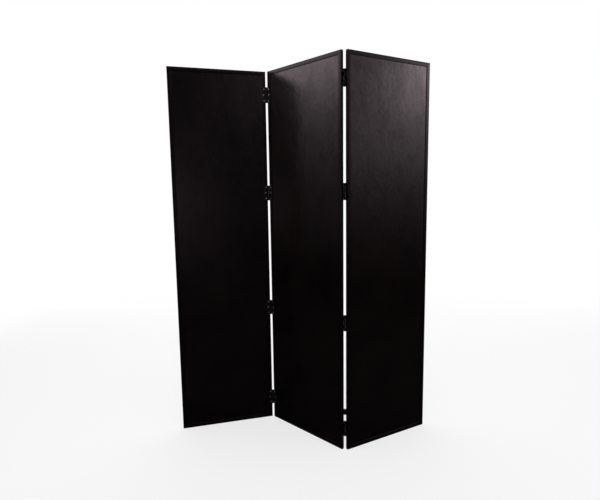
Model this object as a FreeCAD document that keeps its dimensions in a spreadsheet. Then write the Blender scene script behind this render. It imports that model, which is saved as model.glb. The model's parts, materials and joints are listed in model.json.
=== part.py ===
"""A folding screen of three framed panels, joined at two seams by butt hinges.

The hinges of the left seam lie on the panels' front faces, those of the right seam on their back faces,
so that the screen folds flat like a concertina. It is built as it stands, in its zigzag.
The origin is the middle of the middle panel's foot, +Z is up and the front faces look towards -Y.
"""
import FreeCAD, Part
import os
import re
import Sketcher

# Driving dimensions in millimetres and degrees.
SIZES = {
    # The panels
    "panel_height": 1829,
    "panel_width": 478,
    "panel_thick": 15,
    "frame_face": 19,
    "outer_ease": 1.2,
    "inner_bevel": 1.5,
    "field_recess": 3,
    "groove_depth": 5,
    "board_room": 0.5,
    "key_leg": 20,
    "key_thick": 3,
    # The stance
    "middle_angle": -45,
    "left_angle": 59.5,
    "right_angle": 73,
    "seam_gap": 6.5,
    # The hinges
    "hinge_height": 76,
    "end_hinge": 115,
    "upper_hinge": 309,
    "lower_hinge": 297,
    "low_hinge": 100,
    "leaf_thick": 1.6,
    "leaf_margin": 0.5,
    "pin_diameter": 4.7,
    "pin_fit": 0.05,
    "pin_stand": 0.6,
    "pin_chamfer": 0.5,
    "knuckle_gap": 0.15,
    "notch_room": 0.05,
    # The short hinge above the lowest hinge of the right seam
    "short_hinge_height": 28,
    "short_hinge_rise": 84,
    "short_screw_pitch": 7,
    # The screws
    "screw_diameter": 3,
    "screw_length": 11,
    "screw_point": 3,
    "screw_head": 6,
    "screw_fit": 0.05,
    "screw_pitch": 28.5,
    "screw_wall": 2.5,
    "screw_stagger": 3,
    "slot_width": 0.9,
    "slot_depth": 0.7,
}

# Worked-out sizes, as formulas of the sheet's names.
HALF_THICK = "panel_thick / 2"
HALF_BOARD = "(panel_thick / 2 - field_recess)"
HALF_GAP = "seam_gap / 2"
BARREL = "(pin_diameter / 2 + pin_fit + leaf_thick)"
BORE = "(pin_diameter / 2 + pin_fit)"
NOTCH = f"sqrt(({BARREL} + notch_room)^2 - {BORE}^2)"
AXIS_DEPTH = f"({HALF_THICK} + {BARREL})"
LEAF_REACH = f"({HALF_GAP} + frame_face - inner_bevel - leaf_margin)"
FAR_ROW = f"({HALF_GAP} + frame_face - groove_depth - screw_wall)"
NEAR_ROW = f"({FAR_ROW} - screw_stagger)"
HEAD_DEPTH = "((screw_head - screw_diameter) / 2)"
GROOVE_FLOOR = "(frame_face - groove_depth)"
BOARD_EDGE = f"({GROOVE_FLOOR} + board_room)"

# Half turns that set a piece against another side of its panel.
ABOUT_X = (1, 0, 0)
ABOUT_Y = (0, 1, 0)
ABOUT_Z = (0, 0, 1)
X_WITH_Z = (1, 0, 1)
HALF_TURN = "180"
QUARTER_TURN = "90"
TOUCH = 1e-4

doc = FreeCAD.newDocument("folding_screen")
sheet = doc.addObject("Spreadsheet::Sheet", "Sizes")
for row, (alias, size) in enumerate(SIZES.items(), start=1):
    sheet.set(f"A{row}", alias)
    sheet.set(f"B{row}", str(size))
    sheet.setAlias(f"B{row}", alias)
doc.recompute()


def bind(formula):
    """Points each of the sheet's names in a formula at its cell."""
    return re.sub(r"[a-z]+(?:_[a-z]+)+", lambda name: f"Sizes.{name.group()}", formula)


def worth(formula):
    """Gives what a formula comes to now."""
    return float(sheet.evalExpression(bind(formula)))


def place(thing, x="0", y="0", z="0", about=ABOUT_Z, angle="0", within=()):
    """Ties a thing's place to the sheet, inside the frames that carry it."""
    spot = f"create(<<vector>>; {bind(x)}; {bind(y)}; {bind(z)})"
    axis = "create(<<vector>>; {}; {}; {})".format(*about)
    seat = f"create(<<placement>>; {spot}; create(<<rotation>>; {axis}; {bind(angle)}))"
    thing.setExpression("Placement", " * ".join([f"{frame.Name}.Placement" for frame in within] + [seat]))
    return thing


def make(kind, label, **sizes):
    """Adds an object whose sizes follow the sheet."""
    thing = doc.addObject(kind, label)
    thing.Label = label
    for name, formula in sizes.items():
        thing.setExpression(name, bind(formula))
    return thing


def gather(label, *members):
    """Holds shapes together as one object."""
    group = doc.addObject("Part::Compound", label)
    group.Label = label
    group.Links = list(members)
    return group


def outline(body, name, role, *loops):
    """Draws closed outlines of straight sides on one of a body's own planes, each corner tied to the sheet."""
    sketch = body.newObject("Sketcher::SketchObject", name)
    plane = next(feature for feature in body.Origin.OriginFeatures if feature.Role == role)
    sketch.AttachmentSupport = [(plane, "")]
    sketch.MapMode = "FlatFace"
    for corners in loops:
        first = sketch.GeometryCount
        points = [FreeCAD.Vector(worth(across), worth(up), 0) for across, up in corners]
        for start, end in zip(points, points[1:] + points[:1]):
            sketch.addGeometry(Part.LineSegment(start, end))
        for side, (across, up) in enumerate(corners):
            following = first + (side + 1) % len(corners)
            sketch.addConstraint(Sketcher.Constraint("Coincident", first + side, 2, following, 1))
            for kind, formula in (("DistanceX", across), ("DistanceY", up)):
                rule = Sketcher.Constraint(kind, -1, 1, first + side, 1, worth(formula))
                number = sketch.addConstraint(rule)
                sketch.setExpression(f"Constraints[{number}]", bind(formula))
    return sketch


def feature(body, kind, name, profile, **sizes):
    """Adds a feature of a sketch to a body."""
    step = body.newObject(f"PartDesign::{kind}", name)
    step.Profile = profile
    for size, formula in sizes.items():
        step.setExpression(size, bind(formula))
    return step


def turned(label, role, profile):
    """A solid turned about its plane's upright axis."""
    body = make("PartDesign::Body", label)
    sketch = outline(body, f"{label}_profile", role, profile)
    lathe = feature(body, "Revolution", f"{label}_turned", sketch)
    lathe.ReferenceAxis = (sketch, ["V_Axis"])
    return body


def moulding(label, length):
    """A length of grooved frame moulding: outer edge at x = 0, mitred at both ends and cut for the keys."""
    body = make("PartDesign::Body", label)
    section = outline(body, f"{label}_section", "XY_Plane", (
        ("0", f"-{HALF_THICK}"),
        ("frame_face - inner_bevel", f"-{HALF_THICK}"),
        ("frame_face", f"inner_bevel - {HALF_THICK}"),
        ("frame_face", f"-{HALF_BOARD}"),
        (GROOVE_FLOOR, f"-{HALF_BOARD}"),
        (GROOVE_FLOOR, HALF_BOARD),
        ("frame_face", HALF_BOARD),
        ("frame_face", f"{HALF_THICK} - inner_bevel"),
        ("frame_face - inner_bevel", HALF_THICK),
        ("0", HALF_THICK),
    ))
    bar = feature(body, "Pad", f"{label}_bar", section, Length=length)
    doc.recompute()

    outer_edges = [
        f"Edge{number}" for number, edge in enumerate(bar.Shape.Edges, start=1)
        if edge.BoundBox.XMax < TOUCH and edge.BoundBox.ZLength > worth("frame_face")
    ]
    eased = body.newObject("PartDesign::Fillet", f"{label}_eased")
    eased.Base = (bar, outer_edges)
    eased.setExpression("Radius", bind("outer_ease"))

    mitre_lines = outline(
        body, f"{label}_mitre_lines", "XZ_Plane",
        (("-frame_face", "-frame_face"), ("2 * frame_face", "-frame_face"), ("2 * frame_face", "2 * frame_face")),
        (
            ("-frame_face", f"{length} + frame_face"),
            ("2 * frame_face", f"{length} + frame_face"),
            ("2 * frame_face", f"{length} - 2 * frame_face"),
        ),
    )
    mitres = feature(body, "Pocket", f"{label}_mitres", mitre_lines)
    mitres.Type = "ThroughAll"
    mitres.Midplane = True

    kerf_lines = outline(
        body, f"{label}_kerf_lines", "XZ_Plane",
        (("-key_leg", "-key_leg"), ("2 * key_leg", "-key_leg"), ("-key_leg", "2 * key_leg")),
        (
            ("-key_leg", f"{length} + key_leg"),
            ("2 * key_leg", f"{length} + key_leg"),
            ("-key_leg", f"{length} - 2 * key_leg"),
        ),
    )
    kerfs = feature(body, "Pocket", f"{label}_kerfs", kerf_lines, Length="key_thick")
    kerfs.Midplane = True
    return body


def key():
    """One triangular key that locks a mitre, lying in the panel's mid-plane with its corner at the origin."""
    body = make("PartDesign::Body", "corner_key")
    triangle = outline(body, "key_triangle", "XZ_Plane", (("0", "0"), ("key_leg", "0"), ("0", "key_leg")))
    slip = feature(body, "Pad", "key_slip", triangle, Length="key_thick")
    slip.Midplane = True
    return body


def screw():
    """A slotted countersunk screw: its head's face at the origin, its point along +Y."""
    body = turned("hinge_screw", "XY_Plane", (
        ("0", "0"),
        ("screw_head / 2", "0"),
        ("screw_diameter / 2", HEAD_DEPTH),
        ("screw_diameter / 2", "screw_length - screw_point"),
        ("0", "screw_length"),
    ))
    slot_lines = outline(body, "slot_lines", "XZ_Plane", (
        ("-screw_head", "-slot_width / 2"),
        ("screw_head", "-slot_width / 2"),
        ("screw_head", "slot_width / 2"),
        ("-screw_head", "slot_width / 2"),
    ))
    feature(body, "Pocket", "slot", slot_lines, Length="slot_depth")
    return body


def screw_room():
    """The countersunk hole that takes one screw, through a leaf and into the wood."""
    return turned("screw_room", "XY_Plane", (
        ("0", f"-{HEAD_DEPTH}"),
        ("screw_head / 2 + screw_fit", f"-{HEAD_DEPTH}"),
        ("screw_head / 2 + screw_fit", "0"),
        ("screw_diameter / 2 + screw_fit", HEAD_DEPTH),
        ("screw_diameter / 2 + screw_fit", "screw_length - screw_point"),
        ("screw_fit", "screw_length"),
        ("0", "screw_length"),
    ))


def pin(label, height):
    """A hinge pin, its ends chamfered and a little proud of the knuckles."""
    end = f"({height} / 2 + pin_stand)"
    return turned(label, "XZ_Plane", (
        ("0", f"-{end}"),
        ("pin_diameter / 2 - pin_chamfer", f"-{end}"),
        ("pin_diameter / 2", f"pin_chamfer - {end}"),
        ("pin_diameter / 2", f"{end} - pin_chamfer"),
        ("pin_diameter / 2 - pin_chamfer", end),
        ("0", end),
    ))


def leaf(label, height, knuckles, own, bore, screw_spots):
    """A hinge leaf about the pin's axis: a plate along +X whose back lies a barrel's radius behind the axis."""
    step = f"(({height} + knuckle_gap) / {knuckles})"
    plate_front = f"{BARREL} - leaf_thick"
    plate = make("Part::Box", f"{label}_plate", Length=f"{LEAF_REACH} - {NOTCH}", Width="leaf_thick", Height=height)
    place(plate, x=NOTCH, y=plate_front, z=f"-{height} / 2")
    pieces = [plate]
    for number in own:
        base = f"{number} * {step} - {height} / 2"
        length = f"{step} - knuckle_gap"
        curl = make("Part::Cylinder", f"{label}_curl_{number}", Radius=BARREL, Height=length)
        web = make("Part::Box", f"{label}_web_{number}", Length=NOTCH, Width="leaf_thick", Height=length)
        pieces += [place(curl, z=base), place(web, y=plate_front, z=base)]
    blank = make("Part::MultiFuse", f"{label}_blank")
    blank.Shapes = pieces
    blank.Refine = True
    bore_room = make("Part::Cylinder", f"{label}_bore", Radius=bore, Height=f"2 * {height}")
    place(bore_room, z=f"-{height}")
    rooms = [bore_room]
    for number, (reach, rise) in enumerate(screw_spots):
        room = gather(f"{label}_room_{number}", hole)
        rooms.append(place(room, x=reach, y=plate_front, z=rise))
    finished = make("Part::Cut", label)
    finished.Base = blank
    finished.Tool = gather(f"{label}_rooms", *rooms)
    return finished


LEAF_SPOTS = ((NEAR_ROW, "screw_pitch"), (FAR_ROW, "0"), (NEAR_ROW, "-screw_pitch"))
SHORT_SPOTS = ((NEAR_ROW, "short_screw_pitch"), (NEAR_ROW, "-short_screw_pitch"))
PRESS_BORE = "pin_diameter / 2"

# The patterns of the repeated pieces. The outer panels' leaves grip the pin, the middle panel's turn on it.
fastener = screw()
hole = screw_room()
corner_key = key()
doc.recompute()
long_pattern = {
    "outer_leaf": leaf("outer_leaf", "hinge_height", 5, (0, 2, 4), PRESS_BORE, LEAF_SPOTS),
    "inner_leaf": leaf("inner_leaf", "hinge_height", 5, (1, 3), BORE, LEAF_SPOTS),
    "pin": pin("hinge_pin", "hinge_height"),
}
short_pattern = {
    "outer_leaf": leaf("short_outer_leaf", "short_hinge_height", 3, (0, 2), PRESS_BORE, SHORT_SPOTS),
    "inner_leaf": leaf("short_inner_leaf", "short_hinge_height", 3, (1,), BORE, SHORT_SPOTS),
    "pin": pin("short_pin", "short_hinge_height"),
}

# The frames that carry the panels: each panel's own starts at the foot of its left edge, in its mid-plane.
middle_foot = place(make("App::Placement", "middle_foot"), angle="middle_angle")
middle_frame = place(make("App::Placement", "middle_frame"), x="-panel_width / 2", within=[middle_foot])
left_axis = place(
    make("App::Placement", "left_axis"),
    x=f"-{HALF_GAP}", y=f"-{AXIS_DEPTH}", angle="left_angle", within=[middle_frame],
)
left_frame = place(
    make("App::Placement", "left_frame"),
    x=f"-panel_width - {HALF_GAP}", y=AXIS_DEPTH, within=[left_axis],
)
right_axis = place(
    make("App::Placement", "right_axis"),
    x=f"panel_width + {HALF_GAP}", y=AXIS_DEPTH, angle="right_angle", within=[middle_frame],
)
right_frame = place(
    make("App::Placement", "right_frame"),
    x=HALF_GAP, y=f"-{AXIS_DEPTH}", within=[right_axis],
)
PANEL_FRAMES = {"left_panel": left_frame, "middle_panel": middle_frame, "right_panel": right_frame}

# Where a leaf sits on its panel: the axis beside the panel's edge, and the half turn that faces it to the wood.
LEFT_SEAM_ON_LEFT = {"x": f"panel_width + {HALF_GAP}", "y": f"-{AXIS_DEPTH}", "about": ABOUT_Y, "angle": HALF_TURN}
LEFT_SEAM_ON_MIDDLE = {"x": f"-{HALF_GAP}", "y": f"-{AXIS_DEPTH}"}
RIGHT_SEAM_ON_MIDDLE = {
    "x": f"panel_width + {HALF_GAP}", "y": AXIS_DEPTH, "about": ABOUT_Z, "angle": HALF_TURN,
}
RIGHT_SEAM_ON_RIGHT = {"x": f"-{HALF_GAP}", "y": AXIS_DEPTH, "about": ABOUT_X, "angle": HALF_TURN}

# Both seams carry three hinges at the same heights. The lowest one sits nearer the floor on the right seam.
SHARED_HINGES = [
    ("top", "panel_height - end_hinge", long_pattern, LEAF_SPOTS),
    ("upper", "panel_height / 2 + upper_hinge", long_pattern, LEAF_SPOTS),
    ("lower", "panel_height / 2 - lower_hinge", long_pattern, LEAF_SPOTS),
]
LEFT_HINGES = SHARED_HINGES + [("bottom", "end_hinge", long_pattern, LEAF_SPOTS)]
RIGHT_HINGES = SHARED_HINGES + [
    ("bottom", "low_hinge", long_pattern, LEAF_SPOTS),
    ("short", "low_hinge + short_hinge_rise", short_pattern, SHORT_SPOTS),
]
nodes = []


def hang(seam, panel, side, seat_sizes, hinges):
    """Sets one side of a seam's hinges on a panel, and gives the screw holes that its stile needs."""
    screws = []
    rooms = []
    for name, rise, pattern, spots in hinges:
        seat = place(make("App::Placement", f"{seam}_{name}_{side}_seat"), z=rise, **seat_sizes)
        carried = [PANEL_FRAMES[panel], seat]
        nodes.append(place(gather(f"{seam}_{name}_hinge_{side}", pattern[side]), within=carried))
        if side == "outer_leaf":
            nodes.append(place(gather(f"{seam}_{name}_hinge_pin", pattern["pin"]), within=carried))
        for number, (reach, height) in enumerate(spots):
            spot = {"x": reach, "y": f"{BARREL} - leaf_thick", "z": height, "within": [seat]}
            screws.append(place(gather(f"{seam}_{name}_{side}_screw_{number}", fastener), **spot))
            rooms.append(place(gather(f"{seam}_{name}_{side}_room_{number}", hole), **spot))
    nodes.append(place(gather(f"{panel}_{seam}_hinge_screws", *screws), within=[PANEL_FRAMES[panel]]))
    return gather(f"{panel}_{seam}_screw_rooms", *rooms)


def panel(name, left_rooms=None, right_rooms=None):
    """A mitred frame round a board, its corners keyed and its hinged stiles drilled."""
    frame = PANEL_FRAMES[name]
    upright = {"length": "panel_height"}
    across = {"length": "panel_width"}
    stile_seats = {
        "left_stile": ({}, left_rooms),
        "right_stile": ({"x": "panel_width", "about": ABOUT_Z, "angle": HALF_TURN}, right_rooms),
    }
    for part, (seat, rooms) in stile_seats.items():
        label = f"{name}_{part}"
        if rooms is None:
            nodes.append(place(moulding(label, **upright), within=[frame], **seat))
            continue
        drilled = make("Part::Cut", label)
        drilled.Base = place(moulding(f"{label}_blank", **upright), **seat)
        drilled.Tool = rooms
        nodes.append(place(drilled, within=[frame]))
    bottom_rail = moulding(f"{name}_bottom_rail", **across)
    nodes.append(place(bottom_rail, about=X_WITH_Z, angle=HALF_TURN, within=[frame]))
    top_rail = moulding(f"{name}_top_rail", **across)
    nodes.append(place(top_rail, z="panel_height", about=ABOUT_Y, angle=QUARTER_TURN, within=[frame]))

    board = make(
        "Part::Box", f"{name}_board",
        Length=f"panel_width - 2 * {BOARD_EDGE}", Width=f"2 * {HALF_BOARD}",
        Height=f"panel_height - 2 * {BOARD_EDGE}",
    )
    nodes.append(place(board, x=BOARD_EDGE, y=f"-{HALF_BOARD}", z=BOARD_EDGE, within=[frame]))

    corners = (
        {},
        {"x": "panel_width", "about": ABOUT_Z, "angle": HALF_TURN},
        {"z": "panel_height", "about": ABOUT_X, "angle": HALF_TURN},
        {"x": "panel_width", "z": "panel_height", "about": ABOUT_Y, "angle": HALF_TURN},
    )
    keys = [place(gather(f"{name}_key_{number}", corner_key), **seat) for number, seat in enumerate(corners)]
    nodes.append(place(gather(f"{name}_corner_keys", *keys), within=[frame]))


left_rooms = hang("left_seam", "left_panel", "outer_leaf", LEFT_SEAM_ON_LEFT, LEFT_HINGES)
middle_left_rooms = hang("left_seam", "middle_panel", "inner_leaf", LEFT_SEAM_ON_MIDDLE, LEFT_HINGES)
middle_right_rooms = hang("right_seam", "middle_panel", "inner_leaf", RIGHT_SEAM_ON_MIDDLE, RIGHT_HINGES)
right_rooms = hang("right_seam", "right_panel", "outer_leaf", RIGHT_SEAM_ON_RIGHT, RIGHT_HINGES)
panel("left_panel", right_rooms=left_rooms)
panel("middle_panel", left_rooms=middle_left_rooms, right_rooms=middle_right_rooms)
panel("right_panel", left_rooms=right_rooms)
doc.recompute()

# Nothing is written unless every object came out sound.
for thing in doc.Objects:
    if {"Invalid", "Error"} & set(thing.State):
        raise RuntimeError(f"{thing.Label} failed: {thing.State}")
for node in nodes:
    if node.Shape.isNull() or not node.Shape.isValid():
        raise RuntimeError(f"{node.Label} has no sound shape")
plain_screw = doc.getObject("hinge_screw_turned").Shape.Volume
if fastener.Shape.Volume >= plain_screw:
    raise RuntimeError("the screw slot cuts nothing")

os.makedirs("parts", exist_ok=True)
for node in nodes:
    node.Shape.exportStep(f"parts/{node.Label}.step")
print(len(nodes), "nodes,", sum(len(node.Shape.Solids) for node in nodes), "solids")
for axis in (left_axis, right_axis):
    print(axis.Label, [round(part, 4) for part in axis.Placement.Base])
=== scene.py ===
import json
from math import atan2, cos, pi, radians, sin

import bmesh
import bpy
import numpy as np
from mathutils import Matrix, Vector

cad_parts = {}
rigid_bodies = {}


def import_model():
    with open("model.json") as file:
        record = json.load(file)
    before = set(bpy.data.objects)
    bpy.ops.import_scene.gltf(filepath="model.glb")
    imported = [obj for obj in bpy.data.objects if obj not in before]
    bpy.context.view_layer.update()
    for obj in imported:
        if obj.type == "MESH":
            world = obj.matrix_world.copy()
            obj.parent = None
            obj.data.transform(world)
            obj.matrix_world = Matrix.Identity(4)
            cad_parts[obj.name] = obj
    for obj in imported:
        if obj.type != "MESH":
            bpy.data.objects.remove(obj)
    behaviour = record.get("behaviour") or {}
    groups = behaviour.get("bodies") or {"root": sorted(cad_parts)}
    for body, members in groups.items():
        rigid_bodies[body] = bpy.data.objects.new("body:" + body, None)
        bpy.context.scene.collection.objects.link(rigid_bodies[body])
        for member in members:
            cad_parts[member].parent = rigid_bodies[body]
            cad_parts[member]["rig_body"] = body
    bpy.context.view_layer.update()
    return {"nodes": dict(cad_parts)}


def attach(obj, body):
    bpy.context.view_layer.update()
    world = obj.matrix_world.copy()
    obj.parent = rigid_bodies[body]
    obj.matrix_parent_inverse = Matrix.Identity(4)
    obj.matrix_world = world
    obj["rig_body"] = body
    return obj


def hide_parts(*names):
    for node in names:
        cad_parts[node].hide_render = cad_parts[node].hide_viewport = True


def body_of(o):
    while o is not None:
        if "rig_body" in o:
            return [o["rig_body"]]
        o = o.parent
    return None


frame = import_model()


# Panel frames. Each panel has two stiles and two rails of one solid moulding, mitred at the corners
# and held there by keys that the lacquer covers. The moulding is grooved for the board,
# eased on its outer edges and bevelled towards the field, then sprayed black in a dull satin.

PANELS = ("left_panel", "middle_panel", "right_panel")
OUTER_EASE = 0.0012
INNER_EASE = 0.0003
INNER_BEVEL = 0.0015
GROOVE_DEPTH = 0.005
GROOVE_ROOM = 0.0002
MITRE_HAIRLINE = 0.00008
EASE_FACETS = 5
FRAME_CREASE = radians(28)
WELD = 0.000001
PLAN_DIGITS = 6


class Seat:
    """Where a panel stands: the middle of its foot, its heading and its size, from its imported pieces."""

    def __init__(self, panel):
        self.name = panel
        board = self.plan(frame["nodes"][f"{panel}_board"])
        self.foot = Vector((*board[:, :2].mean(axis=0), 0.0))
        long_way = np.linalg.svd(board[:, :2] - board[:, :2].mean(axis=0), full_matrices=False)[2][0]
        along = long_way * np.sign(long_way[0])
        self.heading = atan2(along[1], along[0])
        self.matrix = Matrix.Translation(self.foot) @ Matrix.Rotation(self.heading, 4, "Z")
        stile = self.local(f"{panel}_left_stile")
        self.width = 2 * abs(stile[:, 0].min())
        self.face = stile[:, 0].max() - stile[:, 0].min()
        self.thick = stile[:, 1].max() - stile[:, 1].min()
        self.height = stile[:, 2].max()
        own_board = self.local(f"{panel}_board")
        self.board_thick = own_board[:, 1].max() - own_board[:, 1].min()

    @staticmethod
    def plan(node):
        return np.unique(np.round([v.co for v in node.data.vertices], PLAN_DIGITS), axis=0)

    def local(self, node):
        back = self.matrix.inverted()
        return np.array([back @ v.co for v in frame["nodes"][node].data.vertices])

    def front(self):
        return Vector((sin(self.heading), -cos(self.heading), 0.0))


seats = {panel: Seat(panel) for panel in PANELS}


def add_node(tree, kind, settings=None, sockets=None):
    """Adds a node to a tree; each socket, by name or number, takes a value or another node's output."""
    made = tree.nodes.new(kind)
    for name, value in (settings or {}).items():
        setattr(made, name, value)
    for name, value in (sockets or {}).items():
        if isinstance(value, bpy.types.NodeSocket):
            tree.links.new(value, made.inputs[name])
        else:
            made.inputs[name].default_value = value
    return made


def number(tree, operation, first, second=0.0, third=0.0):
    settings = {"operation": operation}
    return add_node(tree, "ShaderNodeMath", settings, {0: first, 1: second, 2: third}).outputs[0]


def vector(tree, operation, sockets, gives=0):
    return add_node(tree, "ShaderNodeVectorMath", {"operation": operation}, sockets).outputs[gives]


def ramp_between(tree, value, low, high, at_low=0.0, at_high=1.0):
    """Rises smoothly from at_low to at_high while the value goes from low to high."""
    sockets = {"Value": value, "From Min": low, "From Max": high, "To Min": at_low, "To Max": at_high}
    return add_node(tree, "ShaderNodeMapRange", {"interpolation_type": "SMOOTHSTEP"}, sockets).outputs[0]


def mottle(tree, spot, scale, detail=3.0, rough=0.5, stretch=(1.0, 1.0, 1.0)):
    """A noise of about 1/scale metres, drawn out along an axis where its stretch is below 1."""
    squeezed = vector(tree, "MULTIPLY", {0: spot, 1: stretch})
    sockets = {"Vector": squeezed, "Scale": scale, "Detail": detail, "Roughness": rough}
    return add_node(tree, "ShaderNodeTexNoise", None, sockets).outputs["Fac"]


def varied(tree, noise, spread, middle):
    """The middle value, varied by half the spread either way as the noise goes from 0 to 1."""
    return number(tree, "MULTIPLY_ADD", noise, spread, number(tree, "ADD", middle, -spread / 2))


def blend_colours(tree, share, first, second):
    return add_node(tree, "ShaderNodeMix", {"data_type": "RGBA"}, {0: share, 6: first, 7: second}).outputs[2]


def relief(tree, height, depth, under=None):
    """Raises the surface by depth metres where height is 1, on top of another relief."""
    bump = add_node(tree, "ShaderNodeBump", None, {"Height": height, "Distance": depth})
    if under is not None:
        tree.links.new(under, bump.inputs["Normal"])
    return bump.outputs["Normal"]


def new_finish(name):
    """A material with only its shader, and its node tree."""
    finish = bpy.data.materials.new(name)
    finish.use_nodes = True
    shader = finish.node_tree.nodes["Principled BSDF"]
    return finish, finish.node_tree, shader


def object_spot(tree):
    return add_node(tree, "ShaderNodeTexCoord").outputs["Object"]


def panel_spot(tree, seat):
    """Object coordinates turned into the panel's own: x along it from its middle, y through it, z up."""
    place = {"Vector": object_spot(tree), "Location": seat.foot, "Rotation": (0.0, 0.0, seat.heading)}
    return add_node(tree, "ShaderNodeMapping", {"vector_type": "TEXTURE"}, place).outputs[0]


FRAME_BLACK = (0.0013, 0.0010, 0.0010, 1.0)
FRAME_BROWN = (0.0027, 0.0018, 0.0017, 1.0)
RUBBED_BROWN = (0.034, 0.021, 0.016, 1.0)
LACQUER_TINT = (1.0, 0.85, 0.91)
# A noise, here and further on, is given as mottle takes it: scale, detail, roughness and stretch.
STROKES_UP = (900.0, 2.0, 0.6, (1.0, 1.0, 0.012))
STROKES_ALONG = (900.0, 2.0, 0.6, (0.012, 1.0, 1.0))
STROKE_DEPTH = 0.000006
CLOUDS = (14.0, 4.0)
NIBBLES = (60.0, 6.0, 0.65)
NIBBLED = (0.53, 0.66)
ARRIS = (0.0006, 0.0017)
SCUFFS = (180.0, 5.0, 0.6, (1.0, 1.0, 0.35))
SCUFFED = (0.55, 0.7)
SCUFF_HEIGHT = 0.055
SCUFF_SHARE = 0.5
WEAR_DEPTH = 0.00005
PEEL = (420.0, 2.0)
PEEL_DEPTH = 0.00002
FRAME_SHEEN = 0.24
STROKE_SPREAD = 0.10
CLOUD_SPREAD = 0.08
WORN_DULLING = 0.18
FRAME_SPECULAR = 0.30
RAIL_POLISH = 0.65
FOOT_POLISH = 0.40
FOOT_GRIME = (0.022, 0.050)


def frame_lacquer(seat):
    """Dull satin black: faint strokes along each member, rubbed brown in places on the outer edges,
    scuffed and grimy at the foot."""
    finish, tree, shader = new_finish(f"{seat.name}_frame_lacquer")
    spot = panel_spot(tree, seat)
    axes = add_node(tree, "ShaderNodeSeparateXYZ", None, {0: spot})
    across = number(tree, "SUBTRACT", seat.width / 2, number(tree, "ABSOLUTE", axes.outputs["X"]))
    from_top = number(tree, "SUBTRACT", seat.height, axes.outputs["Z"])
    upright = number(tree, "MINIMUM", axes.outputs["Z"], from_top)
    on_rail = number(tree, "LESS_THAN", upright, across)
    strokes = add_node(tree, "ShaderNodeMix", {"data_type": "FLOAT"},
                       {0: on_rail, 2: mottle(tree, spot, *STROKES_UP),
                        3: mottle(tree, spot, *STROKES_ALONG)}).outputs[0]
    clouds = mottle(tree, spot, *CLOUDS)
    to_edge = number(tree, "MAXIMUM", number(tree, "MINIMUM", across, upright), 0.0)
    inside = number(tree, "SUBTRACT", seat.thick / 2, number(tree, "ABSOLUTE", axes.outputs["Y"]))
    to_face = number(tree, "MAXIMUM", inside, 0.0)
    arris = ramp_between(tree, number(tree, "ADD", to_edge, to_face), *ARRIS, 1.0, 0.0)
    nibbles = ramp_between(tree, mottle(tree, spot, *NIBBLES), *NIBBLED)
    rubbed = number(tree, "MULTIPLY", arris, nibbles)
    foot = ramp_between(tree, axes.outputs["Z"], 0.0, SCUFF_HEIGHT, 1.0, 0.0)
    marks = ramp_between(tree, mottle(tree, spot, *SCUFFS), *SCUFFED)
    scuffs = number(tree, "MULTIPLY", foot, marks)
    worn = number(tree, "MAXIMUM", rubbed, number(tree, "MULTIPLY", scuffs, SCUFF_SHARE))
    black = blend_colours(tree, clouds, FRAME_BLACK, FRAME_BROWN)
    tree.links.new(blend_colours(tree, worn, black, RUBBED_BROWN), shader.inputs["Base Color"])
    stroked = varied(tree, strokes, STROKE_SPREAD, FRAME_SHEEN)
    cloudy = varied(tree, clouds, CLOUD_SPREAD, stroked)
    tree.links.new(number(tree, "MULTIPLY_ADD", worn, WORN_DULLING, cloudy), shader.inputs["Roughness"])
    raised = relief(tree, strokes, STROKE_DEPTH)
    peel = relief(tree, mottle(tree, spot, *PEEL), PEEL_DEPTH, raised)
    tree.links.new(relief(tree, worn, -WEAR_DEPTH, peel), shader.inputs["Normal"])
    rail_polish = number(tree, "MULTIPLY_ADD", on_rail, RAIL_POLISH - 1.0, 1.0)
    foot_polish = ramp_between(tree, axes.outputs["Z"], *FOOT_GRIME, FOOT_POLISH, 1.0)
    polish = number(tree, "MULTIPLY", rail_polish, foot_polish)
    tree.links.new(vector(tree, "SCALE", {0: LACQUER_TINT, "Scale": polish}), shader.inputs["Specular Tint"])
    shader.inputs["Specular IOR Level"].default_value = FRAME_SPECULAR
    return finish


def group_sockets(tree, takes):
    """Gives a node tree its named inputs, each (name, kind, starting value), and an output of geometry."""
    for name, kind, start in takes:
        socket = tree.interface.new_socket(name, in_out="INPUT", socket_type=kind)
        if start is not None:
            socket.default_value = start
    tree.interface.new_socket("Geometry", in_out="OUTPUT", socket_type="NodeSocketGeometry")
    return tree.nodes.new("NodeGroupInput"), tree.nodes.new("NodeGroupOutput")


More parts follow.
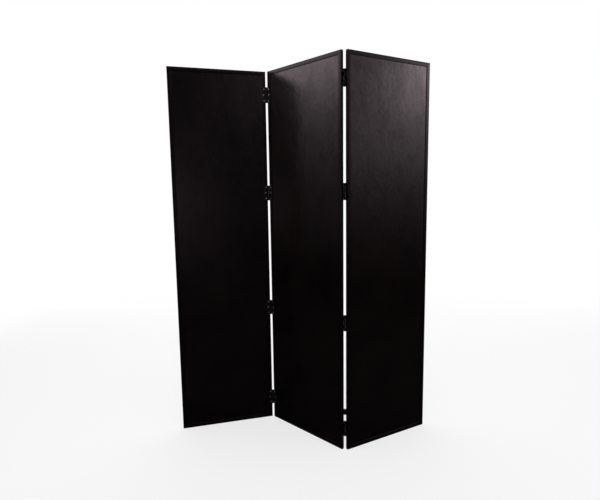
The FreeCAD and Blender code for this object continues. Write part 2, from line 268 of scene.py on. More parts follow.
def mitred_length_tree():
    """Runs the moulding's outline to a length and cuts both ends at 45 degrees; the outer edge keeps
    the full length."""
    tree = bpy.data.node_groups.new("mitred_length", "GeometryNodeTree")
    takes = (("Outline", "NodeSocketGeometry", None), ("Length", "NodeSocketFloat", 1.0),
             ("Hairline", "NodeSocketFloat", 0.0), ("Facets", "NodeSocketInt", 4))
    given, made = group_sockets(tree, takes)
    outline = add_node(tree, "GeometryNodeMeshToCurve", None, {"Mesh": given.outputs["Outline"]}).outputs[0]
    ease = add_node(tree, "GeometryNodeInputNamedAttribute", {"data_type": "FLOAT"},
                    {"Name": "ease"}).outputs[0]
    eased = add_node(tree, "GeometryNodeFilletCurve", {"mode": "POLY"},
                     {"Curve": outline, "Count": given.outputs["Facets"], "Radius": ease,
                      "Limit Radius": True}).outputs[0]
    end = add_node(tree, "GeometryNodeFillCurve", {"mode": "NGONS"}, {"Curve": eased}).outputs[0]
    reach = add_node(tree, "ShaderNodeCombineXYZ", None, {"Z": given.outputs["Length"]}).outputs[0]
    run = add_node(tree, "GeometryNodeExtrudeMesh", {"mode": "FACES"},
                   {"Mesh": end, "Offset": reach, "Offset Scale": 1.0, "Individual": False}).outputs["Mesh"]
    shut = add_node(tree, "GeometryNodeFlipFaces", None, {"Mesh": end}).outputs[0]
    both = tree.nodes.new("GeometryNodeJoinGeometry")
    tree.links.new(run, both.inputs[0])
    tree.links.new(shut, both.inputs[0])
    whole = add_node(tree, "GeometryNodeMergeByDistance", None,
                     {"Geometry": both.outputs[0], "Distance": WELD}).outputs[0]
    position = tree.nodes.new("GeometryNodeInputPosition").outputs[0]
    where = add_node(tree, "ShaderNodeSeparateXYZ", None, {0: position})
    half = number(tree, "MULTIPLY", given.outputs["Length"], 0.5)
    towards = number(tree, "SIGN", number(tree, "SUBTRACT", half, where.outputs["Z"]))
    cut_back = number(tree, "ADD", where.outputs["X"], given.outputs["Hairline"])
    cut = add_node(tree, "ShaderNodeCombineXYZ", None,
                   {"Z": number(tree, "MULTIPLY", towards, cut_back)}).outputs[0]
    mitred = add_node(tree, "GeometryNodeSetPosition", None, {"Geometry": whole, "Offset": cut}).outputs[0]
    tree.links.new(mitred, made.inputs[0])
    return tree


def panel_frame_tree(length_tree):
    """Sets two mitred stiles and two mitred rails round a panel, from the outline that the object holds."""
    tree = bpy.data.node_groups.new("panel_frame", "GeometryNodeTree")
    takes = (("Outline", "NodeSocketGeometry", None), ("Width", "NodeSocketFloat", 0.5),
             ("Height", "NodeSocketFloat", 1.8), ("Hairline", "NodeSocketFloat", 0.0),
             ("Facets", "NodeSocketInt", 4), ("Lacquer", "NodeSocketMaterial", None))
    given, made = group_sockets(tree, takes)
    width, height = given.outputs["Width"], given.outputs["Height"]
    left = number(tree, "MULTIPLY", width, -0.5)
    right = number(tree, "MULTIPLY", width, 0.5)
    left_stile = (height, (0.0, 0.0, 0.0), left, 0.0)
    right_stile = (height, (0.0, 0.0, pi), right, 0.0)
    bottom_rail = (width, (0.0, -pi / 2, 0.0), right, 0.0)
    top_rail = (width, (0.0, pi / 2, 0.0), left, height)
    members = tree.nodes.new("GeometryNodeJoinGeometry")
    for length, turn, x, z in (left_stile, right_stile, bottom_rail, top_rail):
        member = add_node(tree, "GeometryNodeGroup", {"node_tree": length_tree},
                          {"Outline": given.outputs["Outline"], "Length": length,
                           "Hairline": given.outputs["Hairline"],
                           "Facets": given.outputs["Facets"]}).outputs[0]
        place = add_node(tree, "ShaderNodeCombineXYZ", None, {"X": x, "Z": z}).outputs[0]
        set_up = add_node(tree, "GeometryNodeTransform", None,
                          {"Geometry": member, "Translation": place, "Rotation": turn}).outputs[0]
        tree.links.new(set_up, members.inputs[0])
    real = add_node(tree, "GeometryNodeRealizeInstances", None, {"Geometry": members.outputs[0]}).outputs[0]
    painted = add_node(tree, "GeometryNodeSetMaterial", None,
                       {"Geometry": real, "Material": given.outputs["Lacquer"]}).outputs[0]
    tree.links.new(painted, made.inputs[0])
    return tree


def grown(name, start_mesh, tree, inputs, place=None):
    """A plain mesh object made by a node tree from a start mesh, then moved to its place in the mesh."""
    holder = bpy.data.objects.new(f"{name}_start", start_mesh)
    bpy.context.scene.collection.objects.link(holder)
    modifier = holder.modifiers.new("grow", "NODES")
    modifier.node_group = tree
    names = {item.name: item.identifier for item in tree.interface.items_tree if item.in_out == "INPUT"}
    for socket, value in inputs.items():
        modifier[names[socket]] = value
    bpy.context.view_layer.update()
    mesh = bpy.data.meshes.new_from_object(holder.evaluated_get(bpy.context.evaluated_depsgraph_get()))
    holder.modifiers.remove(modifier)
    bpy.data.objects.remove(holder)
    bpy.data.meshes.remove(start_mesh)
    if place is not None:
        mesh.transform(place)
    mesh.name = name
    piece = bpy.data.objects.new(name, mesh)
    bpy.context.scene.collection.objects.link(piece)
    return piece


def smooth(piece, angle):
    """Rounds the shading, and keeps edges sharper than the angle crisp."""
    piece.data.polygons.foreach_set("use_smooth", [True] * len(piece.data.polygons))
    piece.data.set_sharp_from_angle(angle=angle)


def moulding_outline(seat):
    """The moulding's cross-section: u from the outer edge towards the field, y through the panel."""
    back = seat.thick / 2
    groove = seat.board_thick / 2 + GROOVE_ROOM
    groove_floor = seat.face - GROOVE_DEPTH
    bevel_start = seat.face - INNER_BEVEL
    bevel_end = back - INNER_BEVEL
    corners = ((0.0, -back, OUTER_EASE), (bevel_start, -back, INNER_EASE),
               (seat.face, -bevel_end, INNER_EASE), (seat.face, -groove, 0.0), (groove_floor, -groove, 0.0),
               (groove_floor, groove, 0.0), (seat.face, groove, 0.0), (seat.face, bevel_end, INNER_EASE),
               (bevel_start, back, INNER_EASE), (0.0, back, OUTER_EASE))
    mesh = bpy.data.meshes.new("moulding_outline")
    count = len(corners)
    mesh.from_pydata([(u, y, 0.0) for u, y, _ in corners], [(i, (i + 1) % count) for i in range(count)], [])
    mesh.attributes.new("ease", "FLOAT", "POINT").data.foreach_set("value", [ease for _, _, ease in corners])
    return mesh


frame_tree = panel_frame_tree(mitred_length_tree())
for seat in seats.values():
    sizes = {"Width": float(seat.width), "Height": float(seat.height), "Hairline": MITRE_HAIRLINE,
             "Facets": EASE_FACETS, "Lacquer": frame_lacquer(seat)}
    panel_frame = grown(f"{seat.name}_frame", moulding_outline(seat), frame_tree, sizes, seat.matrix)
    smooth(panel_frame, FRAME_CREASE)
    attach(panel_frame, seat.name)
    members = ("left_stile", "right_stile", "top_rail", "bottom_rail", "corner_keys")
    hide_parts(*(f"{seat.name}_{member}" for member in members))


# Boards. A flat veneered board slides into each frame's groove and shows its field on both sides.
# It is lacquered before it goes in, glossier than the frame, with a faint upright grain,
# a slow waviness that the reflections show, and a cloudy film where it has been wiped.

FIELD_BLACK = (0.0014, 0.0010, 0.0010, 1.0)
FIELD_BROWN = (0.0039, 0.0024, 0.0022, 1.0)
FIELD_CLOUDS = (5.0, 4.0, 0.55)
WIPED = (100.0, 4.0, 0.65, (1.0, 1.0, 0.75))
STAINED = (0.36, 0.64)
SMEARS = (13.0, 4.0, 0.6, (1.0, 1.0, 0.6))
SMEARED = (0.34, 0.56)
SMEAR_DIMMING = 0.80
HAZE = 0.85
GRAIN = (650.0, 3.0, 0.6, (1.0, 1.0, 0.015))
GRAIN_DEPTH = 0.000004
WAVES = (4.5, 1.0, 0.5, (1.0, 1.0, 0.5))
WAVE_DEPTH = 0.0011
RIPPLES = (24.0, 3.0, 0.55, (1.0, 1.0, 0.8))
RIPPLE_DEPTH = 0.00050
FIELD_PEEL = (380.0, 2.0)
FIELD_PEEL_DEPTH = 0.00001
FIELD_SHEEN = 0.18
FIELD_CLOUD_SPREAD = 0.10
WIPED_SPREAD = 0.12
GRAIN_SPREAD = 0.03
FIELD_SPECULAR = 0.53


def field_lacquer(seat):
    """Satin black with a soft gloss: upright grain, slow waves and ripples, orange peel and a wiped film."""
    finish, tree, shader = new_finish(f"{seat.name}_field_lacquer")
    spot = panel_spot(tree, seat)
    clouds = mottle(tree, spot, *FIELD_CLOUDS)
    wiped = mottle(tree, spot, *WIPED)
    grain = mottle(tree, spot, *GRAIN)
    mixed = number(tree, "MULTIPLY", number(tree, "ADD", clouds, wiped), 0.5)
    stains = ramp_between(tree, mixed, *STAINED)
    tree.links.new(blend_colours(tree, stains, FIELD_BLACK, FIELD_BROWN), shader.inputs["Base Color"])
    smears = ramp_between(tree, mottle(tree, spot, *SMEARS), *SMEARED)
    dulled = number(tree, "MULTIPLY_ADD", smears, 1.0 - SMEAR_DIMMING, SMEAR_DIMMING)
    polish = varied(tree, wiped, HAZE, dulled)
    tree.links.new(vector(tree, "SCALE", {0: LACQUER_TINT, "Scale": polish}), shader.inputs["Specular Tint"])
    cloudy = varied(tree, clouds, FIELD_CLOUD_SPREAD, FIELD_SHEEN)
    streaked = varied(tree, wiped, WIPED_SPREAD, cloudy)
    tree.links.new(varied(tree, grain, GRAIN_SPREAD, streaked), shader.inputs["Roughness"])
    waves = relief(tree, mottle(tree, spot, *WAVES), WAVE_DEPTH)
    ripples = relief(tree, mottle(tree, spot, *RIPPLES), RIPPLE_DEPTH, waves)
    pores = relief(tree, grain, GRAIN_DEPTH, ripples)
    peel = relief(tree, mottle(tree, spot, *FIELD_PEEL), FIELD_PEEL_DEPTH, pores)
    tree.links.new(peel, shader.inputs["Normal"])
    shader.inputs["Specular IOR Level"].default_value = FIELD_SPECULAR
    return finish


for seat in seats.values():
    board = frame["nodes"][f"{seat.name}_board"]
    board.data.materials.clear()
    board.data.materials.append(field_lacquer(seat))


# Hinge leaves. Each seam has four butt hinges of sheet steel, and the right one a short fifth:
# every leaf is pressed with its knuckles rolled round the pin, blackened,
# and worn bright along its edges and knuckles.

LEAF_BLACK = (0.0018, 0.0015, 0.0015, 1.0)
LEAF_BROWN = (0.0046, 0.0034, 0.0030, 1.0)
LEAF_BRIGHT = (0.36, 0.34, 0.31, 1.0)
LEAF_PATCHES = (120.0, 5.0, 0.6)
ROLLING_LINES = (1600.0, 2.0, 0.6, (1.0, 1.0, 0.05))
ROLLING_DEPTH = 0.000008
EDGE_REACH = 0.0006
EDGE_SAMPLES = 6
EDGE_FACING = (0.86, 0.99)
RUBBED_PATCHES = (0.38, 0.60)
SCRATCH_LINES = (0.60, 0.72)
SCRATCH_PATCHES = (0.48, 0.62)
SCRATCH_SHARE = 0.25
LEAF_SHEEN = 0.34
ROLLING_SPREAD = 0.16
WORN_GLOSS = 0.05
LEAF_SPECULAR = 0.2
LEAF_SOFTNESS = 0.0002
SOFT_STEPS = 2
LEAST_ROOM = 0.00025
SAME_POINT = 0.000002
FLAT_ANGLE = radians(0.2)
CRISP_ANGLE = radians(40)
RUN_ANGLE = radians(30)
LEAF_CREASE = radians(32)


def hinge_black():
    """Blackened steel: a brown-black skin with fine rolling lines, and bare metal along rubbed edges."""
    finish, tree, shader = new_finish("hinge_black")
    spot = object_spot(tree)
    patches = mottle(tree, spot, *LEAF_PATCHES)
    rolled = mottle(tree, spot, *ROLLING_LINES)
    true_normal = add_node(tree, "ShaderNodeNewGeometry").outputs["Normal"]
    round_normal = add_node(tree, "ShaderNodeBevel", {"samples": EDGE_SAMPLES},
                            {"Radius": EDGE_REACH}).outputs[0]
    facing = vector(tree, "DOT_PRODUCT", {0: true_normal, 1: round_normal}, "Value")
    edge = ramp_between(tree, facing, *EDGE_FACING, 1.0, 0.0)
    scratched = number(tree, "MULTIPLY", ramp_between(tree, rolled, *SCRATCH_LINES),
                       ramp_between(tree, patches, *SCRATCH_PATCHES))
    rubbed = number(tree, "MULTIPLY", edge, ramp_between(tree, patches, *RUBBED_PATCHES))
    worn = number(tree, "MAXIMUM", rubbed, number(tree, "MULTIPLY", scratched, SCRATCH_SHARE))
    skin = blend_colours(tree, patches, LEAF_BLACK, LEAF_BROWN)
    tree.links.new(blend_colours(tree, worn, skin, LEAF_BRIGHT), shader.inputs["Base Color"])
    tree.links.new(worn, shader.inputs["Metallic"])
    dull = varied(tree, rolled, ROLLING_SPREAD, LEAF_SHEEN)
    tree.links.new(number(tree, "MULTIPLY_ADD", worn, -WORN_GLOSS, dull), shader.inputs["Roughness"])
    tree.links.new(relief(tree, rolled, ROLLING_DEPTH), shader.inputs["Normal"])
    shader.inputs["Specular IOR Level"].default_value = LEAF_SPECULAR
    return finish


def shortest_near(edge):
    return min(near.calc_length() for end in edge.verts for near in end.link_edges)


def rounded_edges(body):
    """The open edges with room to be rounded; a run that meets a tight spot, as at a countersink's thin land
    or where a knuckle stands in its notch, stays crisp all along."""
    rounded = {edge for edge in body.edges if edge.calc_face_angle(0.0) > CRISP_ANGLE}
    tight = [edge for edge in rounded if shortest_near(edge) < LEAST_ROOM]
    while tight:
        edge = tight.pop()
        rounded.discard(edge)
        for end in edge.verts:
            onward = end.co - edge.other_vert(end).co
            tight += [near for near in end.link_edges
                      if near in rounded and onward.angle(near.other_vert(end).co - end.co) < RUN_ANGLE]
    return rounded


def merged_copy(node, name):
    """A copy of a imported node's mesh, its loose triangles joined into whole faces and its edges marked
    for rounding."""
    body = bmesh.new()
    body.from_mesh(frame["nodes"][node].data)
    bmesh.ops.remove_doubles(body, verts=body.verts, dist=SAME_POINT)
    bmesh.ops.dissolve_limit(body, angle_limit=FLAT_ANGLE, verts=body.verts, edges=body.edges)
    weight = body.edges.layers.float.new("bevel_weight_edge")
    for edge in rounded_edges(body):
        edge[weight] = 1.0
    mesh = bpy.data.meshes.new(name)
    body.to_mesh(mesh)
    body.free()
    mesh.materials.clear()
    piece = bpy.data.objects.new(name, mesh)
    bpy.context.scene.collection.objects.link(piece)
    return piece


leaf_finish = hinge_black()
leaf_nodes = sorted(name for name in frame["nodes"] if name.endswith("_leaf"))
for leaf_node in leaf_nodes:
    leaf = merged_copy(leaf_node, f"{leaf_node}_steel")
    leaf.data.materials.append(leaf_finish)
    smooth(leaf, LEAF_CREASE)
    soften = leaf.modifiers.new("soften", "BEVEL")
    soften.width = LEAF_SOFTNESS
    soften.segments = SOFT_STEPS
    soften.limit_method = "WEIGHT"
    soften.harden_normals = True
    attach(leaf, body_of(frame["nodes"][leaf_node])[0])
    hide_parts(leaf_node)


# Hinge pins. A drawn steel pin is pressed through each stack of knuckles and stands a little proud
# at both ends, chamfered; it keeps a thin brown-black skin that the drawing lines show through.

PIN_DARK = (0.060, 0.055, 0.052, 1.0)
PIN_GREY = (0.16, 0.15, 0.14, 1.0)
DRAWING_LINES = (2600.0, 3.0, 0.6, (1.0, 1.0, 0.03))
DRAWING_DEPTH = 0.000006
DRAWING_SPREAD = 0.2
PIN_STAINS = (300.0, 4.0, 0.6)
PIN_SHEEN = 0.34


def pin_steel():
    """Dark drawn steel: stained in patches, with fine lines along the pin."""
    finish, tree, shader = new_finish("pin_steel")
    spot = object_spot(tree)
    drawn = mottle(tree, spot, *DRAWING_LINES)
    stains = mottle(tree, spot, *PIN_STAINS)
    tree.links.new(blend_colours(tree, stains, PIN_DARK, PIN_GREY), shader.inputs["Base Color"])
    tree.links.new(varied(tree, drawn, DRAWING_SPREAD, PIN_SHEEN), shader.inputs["Roughness"])
    tree.links.new(relief(tree, drawn, DRAWING_DEPTH), shader.inputs["Normal"])
    shader.inputs["Metallic"].default_value = 1.0
    return finish


pin_finish = pin_steel()
for name in sorted(frame["nodes"]):
    if name.endswith("_pin"):
        pin = frame["nodes"][name]
        pin.data.materials.clear()
        pin.data.materials.append(pin_finish)


# Hinge screws. Three raised countersunk brass screws hold each leaf, two each of the short hinge's,
# driven into the stiles by hand, so every slot has stopped at an angle of its own.

HEAD_DIAMETER = 0.006
SHANK_DIAMETER = 0.003
SCREW_LENGTH = 0.011
POINT_LENGTH = 0.003
POINT_TIP = (0.35, 0.3)
COUNTERSINK = 0.0015
RIM_LAND = 0.0002
DOME_HEIGHT = 0.0004
DOME_STEPS = 5
SLOT_WIDTH = 0.0009
SLOT_DEPTH = 0.0007
SLOT_OVERRUN = 1.4
SLOT_SEED = 7
TURNED_STEPS = 28
SCREW_CREASE = radians(30)
RIM_ROOM = 0.00002
ORDER_DIGITS = 4
BRASS = (0.86, 0.74, 0.62, 1.0)
TARNISH = (0.62, 0.52, 0.43, 1.0)
# Near-black for the slot's walls and floor: painted shade in the slot, with some grime.
SLOT_SHADE_AND_GRIME = (0.020, 0.016, 0.013, 1.0)
BRASS_STAINS = (420.0, 5.0, 0.6)
BRASS_STAINED = (0.35, 0.65)
TURNING_LINES = (3000.0, 2.0, 0.6)
TURNING_DEPTH = 0.00001
TURNING_SPREAD = 0.2
BRASS_SHEEN = 0.32
TARNISHED_METAL = 0.85
BRIGHT_METAL = 0.95


def screw_brass():
    """Aged brass: tarnished in patches, with the slot painted near-black as painted shade with some grime.
    """
    finish, tree, shader = new_finish("screw_brass")
    spot = object_spot(tree)
    turned = mottle(tree, spot, *TURNING_LINES)
    bright = ramp_between(tree, mottle(tree, spot, *BRASS_STAINS), *BRASS_STAINED)
    # The faces that the slot cutter left are marked; they are painted near-black and not metal, as painted
    # shade in the slot with some grime.
    shade_and_grime = add_node(tree, "ShaderNodeAttribute", {"attribute_name": "slot_grime"}).outputs["Fac"]
    outside_slot = number(tree, "SUBTRACT", 1.0, shade_and_grime)
    metal = blend_colours(tree, bright, TARNISH, BRASS)
    tree.links.new(blend_colours(tree, outside_slot, SLOT_SHADE_AND_GRIME, metal), shader.inputs["Base Color"])
    shine = number(tree, "MULTIPLY_ADD", bright, BRIGHT_METAL - TARNISHED_METAL, TARNISHED_METAL)
    tree.links.new(number(tree, "MULTIPLY", shine, outside_slot), shader.inputs["Metallic"])
    tree.links.new(varied(tree, turned, TURNING_SPREAD, BRASS_SHEEN), shader.inputs["Roughness"])
    tree.links.new(relief(tree, turned, TURNING_DEPTH), shader.inputs["Normal"])
    return finish


def turned_screw():
    """One screw standing on its point along z, its head's rim at zero, turned from its profile."""
    head, shank = HEAD_DIAMETER / 2, SHANK_DIAMETER / 2
    tip_width, tip_rise = POINT_TIP
    profile = [(0.0, -SCREW_LENGTH), (shank * tip_width, -SCREW_LENGTH + POINT_LENGTH * tip_rise),
               (shank, -SCREW_LENGTH + POINT_LENGTH), (shank, -COUNTERSINK), (head, -RIM_LAND), (head, 0.0)]
    rises = [step * pi / 2 / DOME_STEPS for step in range(1, DOME_STEPS)]
    profile += [(head * cos(rise), DOME_HEIGHT * sin(rise)) for rise in rises]
    profile.append((0.0, DOME_HEIGHT))
    body = bmesh.new()
    points = [body.verts.new((radius, 0.0, height)) for radius, height in profile]
    edges = [body.edges.new(pair) for pair in zip(points, points[1:])]
    bmesh.ops.spin(body, geom=points + edges, axis=(0, 0, 1), cent=(0, 0, 0), angle=2 * pi,
                   steps=TURNED_STEPS)
    bmesh.ops.remove_doubles(body, verts=body.verts, dist=WELD)
    bmesh.ops.recalc_face_normals(body, faces=body.faces)
    mesh = bpy.data.meshes.new("turned_screw")
    body.to_mesh(mesh)
    body.free()
    return bpy.data.objects.new("turned_screw", mesh)


def driven_screws_tree():
    """Slots a screw's head and drives one at every place, along the place's facing, turned at random."""
    tree = bpy.data.node_groups.new("driven_screws", "GeometryNodeTree")
    takes = (("Places", "NodeSocketGeometry", None), ("Screw", "NodeSocketObject", None),
             ("Head Diameter", "NodeSocketFloat", 0.006), ("Crown", "NodeSocketFloat", 0.001),
             ("Slot Width", "NodeSocketFloat", 0.001), ("Slot Depth", "NodeSocketFloat", 0.001),
             ("Seed", "NodeSocketInt", 0), ("Brass", "NodeSocketMaterial", None))
    given, made = group_sockets(tree, takes)
    screw = add_node(tree, "GeometryNodeObjectInfo", None,
                     {"Object": given.outputs["Screw"]}).outputs["Geometry"]
    cutter_length = number(tree, "MULTIPLY", given.outputs["Head Diameter"], SLOT_OVERRUN)
    cutter_height = number(tree, "MULTIPLY", given.outputs["Slot Depth"], 2.0)
    cutter_size = add_node(tree, "ShaderNodeCombineXYZ", None,
                           {"X": cutter_length, "Y": given.outputs["Slot Width"],
                            "Z": cutter_height}).outputs[0]
    cutter = add_node(tree, "GeometryNodeMeshCube", None, {"Size": cutter_size}).outputs[0]
    lift = add_node(tree, "ShaderNodeCombineXYZ", None, {"Z": given.outputs["Crown"]}).outputs[0]
    raised = add_node(tree, "GeometryNodeTransform", None,
                      {"Geometry": cutter, "Translation": lift}).outputs[0]
    # The cutter's faces become the slot's walls and floor; this mark makes the brass paint them dark, as
    # painted shade with some grime.
    marked = add_node(tree, "GeometryNodeStoreNamedAttribute", {"data_type": "FLOAT", "domain": "FACE"},
                      {"Geometry": raised, "Name": "slot_grime", "Value": 1.0}).outputs[0]
    slotted = add_node(tree, "GeometryNodeMeshBoolean", {"operation": "DIFFERENCE", "solver": "EXACT"},
                       {0: screw, 1: marked}).outputs[0]
    facing = add_node(tree, "GeometryNodeInputNamedAttribute", {"data_type": "FLOAT_VECTOR"},
                      {"Name": "facing"}).outputs[0]
    upright = add_node(tree, "FunctionNodeAlignRotationToVector", {"axis": "Z"},
                       {"Vector": facing}).outputs[0]
    stop = add_node(tree, "FunctionNodeRandomValue", {"data_type": "FLOAT"},
                    {2: 0.0, 3: 2 * pi, "Seed": given.outputs["Seed"]}).outputs[1]
    turn = add_node(tree, "FunctionNodeAxisAngleToRotation", None,
                    {"Axis": (0.0, 0.0, 1.0), "Angle": stop}).outputs[0]
    driven = add_node(tree, "FunctionNodeRotateRotation", {"rotation_space": "LOCAL"},
                      {0: upright, 1: turn}).outputs[0]
    places = add_node(tree, "GeometryNodeMeshToPoints", None, {"Mesh": given.outputs["Places"]}).outputs[0]
    set_in = add_node(tree, "GeometryNodeInstanceOnPoints", None,
                      {"Points": places, "Instance": slotted, "Rotation": driven}).outputs[0]
    real = add_node(tree, "GeometryNodeRealizeInstances", None, {"Geometry": set_in}).outputs[0]
    brass = add_node(tree, "GeometryNodeSetMaterial", None,
                     {"Geometry": real, "Material": given.outputs["Brass"]}).outputs[0]
    tree.links.new(brass, made.inputs[0])
    return tree


def head_places(groups):
    """Points at the middle of every head's face, with the way it faces, read from packed screw groups."""
    spots, facings = [], []
    for node, facing in groups:
        body = bmesh.new()
        body.from_mesh(frame["nodes"][node].data)
        bmesh.ops.remove_doubles(body, verts=body.verts, dist=SAME_POINT)
        left = set(body.verts)
        while left:
            reached = [left.pop()]
            for vert in reached:
                near = {edge.other_vert(vert) for edge in vert.link_edges} & left
                left -= near
                reached.extend(near)
            height = max(vert.co.dot(facing) for vert in reached)
            rim = [vert.co for vert in reached if height - vert.co.dot(facing) < RIM_ROOM]
            spots.append(sum(rim, Vector()) / len(rim))
            facings.append(facing)
        body.free()
    order = sorted(range(len(spots)), key=lambda i: tuple(round(part, ORDER_DIGITS) for part in spots[i]))
    mesh = bpy.data.meshes.new("head_places")
    mesh.from_pydata([spots[i] for i in order], [], [])
    ways = mesh.attributes.new("facing", "FLOAT_VECTOR", "POINT")
    ways.data.foreach_set("vector", [part for i in order for part in facings[i]])
    return mesh


screw_groups = {
    "left_panel": (("left_panel_left_seam_hinge_screws", 1),),
    "middle_panel": (("middle_panel_left_seam_hinge_screws", 1),
                     ("middle_panel_right_seam_hinge_screws", -1)),
    "right_panel": (("right_panel_right_seam_hinge_screws", -1),),
}
screw_tree = driven_screws_tree()
screw_master = turned_screw()
screw_finish = screw_brass()
for panel, groups in screw_groups.items():
    places = head_places([(node, seats[panel].front() * side) for node, side in groups])
    sizes = {"Screw": screw_master, "Head Diameter": HEAD_DIAMETER, "Crown": DOME_HEIGHT,
             "Slot Width": SLOT_WIDTH, "Slot Depth": SLOT_DEPTH, "Seed": SLOT_SEED, "Brass": screw_finish}
    screws = grown(f"{panel}_hinge_screws", places, screw_tree, sizes)
    smooth(screws, SCREW_CREASE)
    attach(screws, panel)
    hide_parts(*(node for node, _ in groups))
bpy.data.objects.remove(screw_master)


# Floor. A wide pale painted floor that runs out into the white background;
# near the screen it takes the screen's shadow.

FLOOR_PALE = (0.90, 0.90, 0.90, 1.0)
FLOOR_SHADED = (0.8865, 0.8865, 0.8865, 1.0)
FLOOR_SPECKLE = (40.0, 4.0)
FLOOR_ROUGHNESS = 0.9
FLOOR_REACH = 30.0
FLOOR_FADE = (1.2, 4.5)
FLOOR_WASH = 0.68
PLAIN_WHITE = (1.0, 1.0, 1.0, 1.0)


def background_share(tree):
    """1 for what the camera, a reflection or glass sees directly, 0 for light on its way to a surface."""
    path = tree.nodes.new("ShaderNodeLightPath")
    seen = number(tree, "MAXIMUM", path.outputs["Is Camera Ray"], path.outputs["Is Glossy Ray"])
    return number(tree, "MAXIMUM", seen, path.outputs["Is Transmission Ray"])


def floor_finish():
    """Pale paint with a faint speckle, washed out to white with distance where it is seen directly."""
    finish, tree, shader = new_finish("pale_floor")
    spot = object_spot(tree)
    away = vector(tree, "LENGTH", {0: spot}, "Value")
    pale = blend_colours(tree, mottle(tree, spot, *FLOOR_SPECKLE), FLOOR_SHADED, FLOOR_PALE)
    tree.links.new(pale, shader.inputs["Base Color"])
    shader.inputs["Roughness"].default_value = FLOOR_ROUGHNESS
    shader.inputs["Specular IOR Level"].default_value = 0.0
    white = add_node(tree, "ShaderNodeEmission", None, {"Color": PLAIN_WHITE, "Strength": 1.0}).outputs[0]
    washed = ramp_between(tree, away, *FLOOR_FADE, FLOOR_WASH, 1.0)
    far = number(tree, "MULTIPLY", washed, background_share(tree))
    fade = add_node(tree, "ShaderNodeMixShader", None, {0: far, 1: shader.outputs[0], 2: white}).outputs[0]
    tree.links.new(fade, tree.nodes["Material Output"].inputs["Surface"])
    return finish


def card(name, corners, finish):
    """A flat sheet of the studio, cut to its corners."""
    mesh = bpy.data.meshes.new(name)
    mesh.from_pydata(corners, [], [tuple(range(len(corners)))])
    mesh.materials.append(finish)
    sheet = bpy.data.objects.new(name, mesh)
    bpy.context.scene.collection.objects.link(sheet)
    return sheet


def level_corners(x_from, x_to, y_from, y_to, z):
    return [(x_from, y_from, z), (x_to, y_from, z), (x_to, y_to, z), (x_from, y_to, z)]


card("floor", level_corners(-FLOOR_REACH, FLOOR_REACH, -FLOOR_REACH, FLOOR_REACH, 0.0), floor_finish())


# Studio. Two tall graded softboxes stand left and right, brightest at the top, a white surround fills in,
# and black cards that only reflections see keep the floor and the camera's side out of the lacquer.

SURROUND_FILL = 1.15
LAMP_TINT = (1.0, 0.94, 0.97, 1.0)
LEFT_X = -2.6
RIGHT_X = 3.0
BOX_FRONT = -3.5
BOX_TOP = 3.6
SKIRT = 0.45

world = bpy.data.worlds.new("white_surround")
bpy.context.scene.world = world
world.use_nodes = True
surround = world.node_tree.nodes["Background"]
surround.inputs["Color"].default_value = PLAIN_WHITE
seen_white = ramp_between(world.node_tree, background_share(world.node_tree), 0.0, 1.0, SURROUND_FILL, 1.0)
world.node_tree.links.new(seen_white, surround.inputs["Strength"])


def glow_about(tree, spot, centre, reach):
    """1 at the centre, fading by a factor of e with every reach metres."""
    away = vector(tree, "DISTANCE", {0: spot, 1: centre}, "Value")
    return number(tree, "EXPONENT", number(tree, "DIVIDE", away, -reach))


def graded_light(name, low, high, dim, bright, middle, falloff, lamp, band=None):
    """A softbox cloth that glows more from low to high, and less away from the middle of its width.
    A lamp behind it, (centre, reach, strength), makes a hot spot; a band, (from, to, strength), lights
    its top."""
    finish = bpy.data.materials.new(name)
    finish.use_nodes = True
    tree = finish.node_tree
    tree.nodes.remove(tree.nodes["Principled BSDF"])
    spot = object_spot(tree)
    axes = add_node(tree, "ShaderNodeSeparateXYZ", None, {0: spot})
    rise = add_node(tree, "ShaderNodeMapRange", None,
                    {"Value": axes.outputs["Z"], "From Min": low, "From Max": high}).outputs[0]
    strength = number(tree, "MULTIPLY", dim, number(tree, "POWER", bright / dim, rise))
    if band is not None:
        band_from, band_to, extra = band
        top_light = ramp_between(tree, axes.outputs["Z"], band_from, band_to, 0.0, extra)
        strength = number(tree, "ADD", strength, top_light)
    aside = number(tree, "ABSOLUTE", number(tree, "SUBTRACT", axes.outputs["Y"], middle))
    strength = number(tree, "MULTIPLY", strength, ramp_between(tree, aside, *falloff, 1.0, 0.0))
    centre, reach, peak = lamp
    strength = number(tree, "MULTIPLY_ADD", glow_about(tree, spot, centre, reach), peak, strength)
    skirted = number(tree, "MULTIPLY", strength, ramp_between(tree, axes.outputs["Z"], low - SKIRT, low))
    lit = add_node(tree, "ShaderNodeEmission", None, {"Color": LAMP_TINT, "Strength": skirted}).outputs[0]
    tree.links.new(lit, tree.nodes["Material Output"].inputs["Surface"])
    return finish


def softbox(name, x, y_to, glow):
    """A glowing cloth that stands upright on the floor beside the screen, out of the camera's sight."""
    corners = [(x, BOX_FRONT, 0.0), (x, y_to, 0.0), (x, y_to, BOX_TOP), (x, BOX_FRONT, BOX_TOP)]
    card(name, corners, glow).visible_camera = False


left_glow = graded_light("left_glow", low=0.8, high=2.2, dim=0.05, bright=0.92, middle=0.9,
                         falloff=(1.0, 2.8), lamp=((LEFT_X, -1.45, 1.1), 0.30, 0.9),
                         band=(2.15, 2.55, 1.7))
right_glow = graded_light("right_glow", low=0.47, high=1.60, dim=0.03, bright=0.43, middle=0.0,
                          falloff=(1.8, 3.4), lamp=((RIGHT_X, -0.58, 2.45), 0.28, 7.0))
softbox("left_softbox", x=LEFT_X, y_to=2.6, glow=left_glow)
softbox("right_softbox", x=RIGHT_X, y_to=2.4, glow=right_glow)

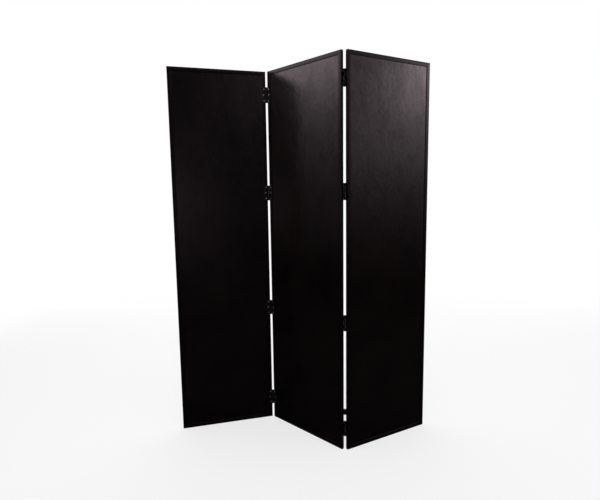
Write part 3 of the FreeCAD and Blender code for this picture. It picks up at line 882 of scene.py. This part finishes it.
CLOTH_BLACK = (0.02, 0.02, 0.02, 1.0)
CLOTH_SHADED = (0.018, 0.018, 0.018, 1.0)
CLOTH_WEAVE = 60.0
FLOOR_CARD = (-4.0, 4.0, -5.0, 4.0)
CARD_LIFT = 0.003
CAMERA_CARD_Y = -3.4
CAMERA_CARD_RIGHT = 3.4
FLAG_WIDTH = 0.20
FLAG_RISE = (0.09, 0.02)


def black_card(name, corners, glows=()):
    """A black cloth that only reflections see; each faint glow on it is (centre, reach, strength)."""
    finish, tree, shader = new_finish(name)
    spot = object_spot(tree)
    cloth = blend_colours(tree, mottle(tree, spot, CLOTH_WEAVE), CLOTH_SHADED, CLOTH_BLACK)
    tree.links.new(cloth, shader.inputs["Base Color"])
    shader.inputs["Roughness"].default_value = 1.0
    shader.inputs["Specular IOR Level"].default_value = 0.0
    if glows:
        total = 0.0
        for centre, reach, strength in glows:
            total = number(tree, "MULTIPLY_ADD", glow_about(tree, spot, centre, reach), strength, total)
        shader.inputs["Emission Color"].default_value = LAMP_TINT
        tree.links.new(total, shader.inputs["Emission Strength"])
    sheet = card(name, corners, finish)
    sheet.visible_camera = False
    sheet.visible_diffuse = False
    sheet.visible_shadow = False
    sheet.visible_transmission = False


black_card("floor_card", level_corners(*FLOOR_CARD, CARD_LIFT))
flagged = seats["left_panel"]
flag_right = flagged.matrix @ Vector((flagged.width / 2, 0.0, 0.0))
flag_left = flagged.matrix @ Vector((-flagged.width / 2 - FLAG_WIDTH, 0.0, 0.0))
left_top, right_top = (Vector((0.0, 0.0, flagged.height + rise)) for rise in FLAG_RISE)
black_card("edge_flag", [flag_right, flag_left, flag_left + left_top, flag_right + right_top])
camera_card = [(LEFT_X, CAMERA_CARD_Y, 0.0), (CAMERA_CARD_RIGHT, CAMERA_CARD_Y, 0.0),
               (CAMERA_CARD_RIGHT, CAMERA_CARD_Y, BOX_TOP), (LEFT_X, CAMERA_CARD_Y, BOX_TOP)]
low_glow = ((0.10, CAMERA_CARD_Y, 1.15), 0.42, 0.36)
high_glow = ((1.65, CAMERA_CARD_Y, 2.8), 0.42, 0.48)
black_card("camera_card", camera_card, (low_glow, high_glow))


# Camera. It stands a little over two metres in front of the screen, at chest height,
# and looks slightly down with a short lens, as the photograph shows.

CAMERA_SPOT = (-0.0448, -2.1736, 1.2100)
CAMERA_HEADING = 0.0104
CAMERA_DIP = 0.1223
CAMERA_ROLL = -0.0137
PHOTO_WIDTH = 600
FOCAL_PIXELS = 446.05
SENSOR_WIDTH = 36.0

level_ahead = Vector((sin(CAMERA_HEADING), cos(CAMERA_HEADING), 0.0))
ahead = level_ahead * cos(CAMERA_DIP) - Vector((0.0, 0.0, sin(CAMERA_DIP)))
level_right = Vector((cos(CAMERA_HEADING), -sin(CAMERA_HEADING), 0.0))
level_up = level_right.cross(ahead)
right = level_right * cos(CAMERA_ROLL) + level_up * sin(CAMERA_ROLL)
up = level_up * cos(CAMERA_ROLL) - level_right * sin(CAMERA_ROLL)
camera_data = bpy.data.cameras.new("camera")
camera_data.sensor_fit = "HORIZONTAL"
camera_data.sensor_width = SENSOR_WIDTH
camera_data.lens = FOCAL_PIXELS * SENSOR_WIDTH / PHOTO_WIDTH
camera = bpy.data.objects.new("camera", camera_data)
turn = Matrix((right, up, -ahead)).transposed().to_4x4()
camera.matrix_world = Matrix.Translation(CAMERA_SPOT) @ turn
bpy.context.scene.collection.objects.link(camera)
bpy.context.scene.camera = camera
bpy.context.scene.view_settings.view_transform = "Standard"
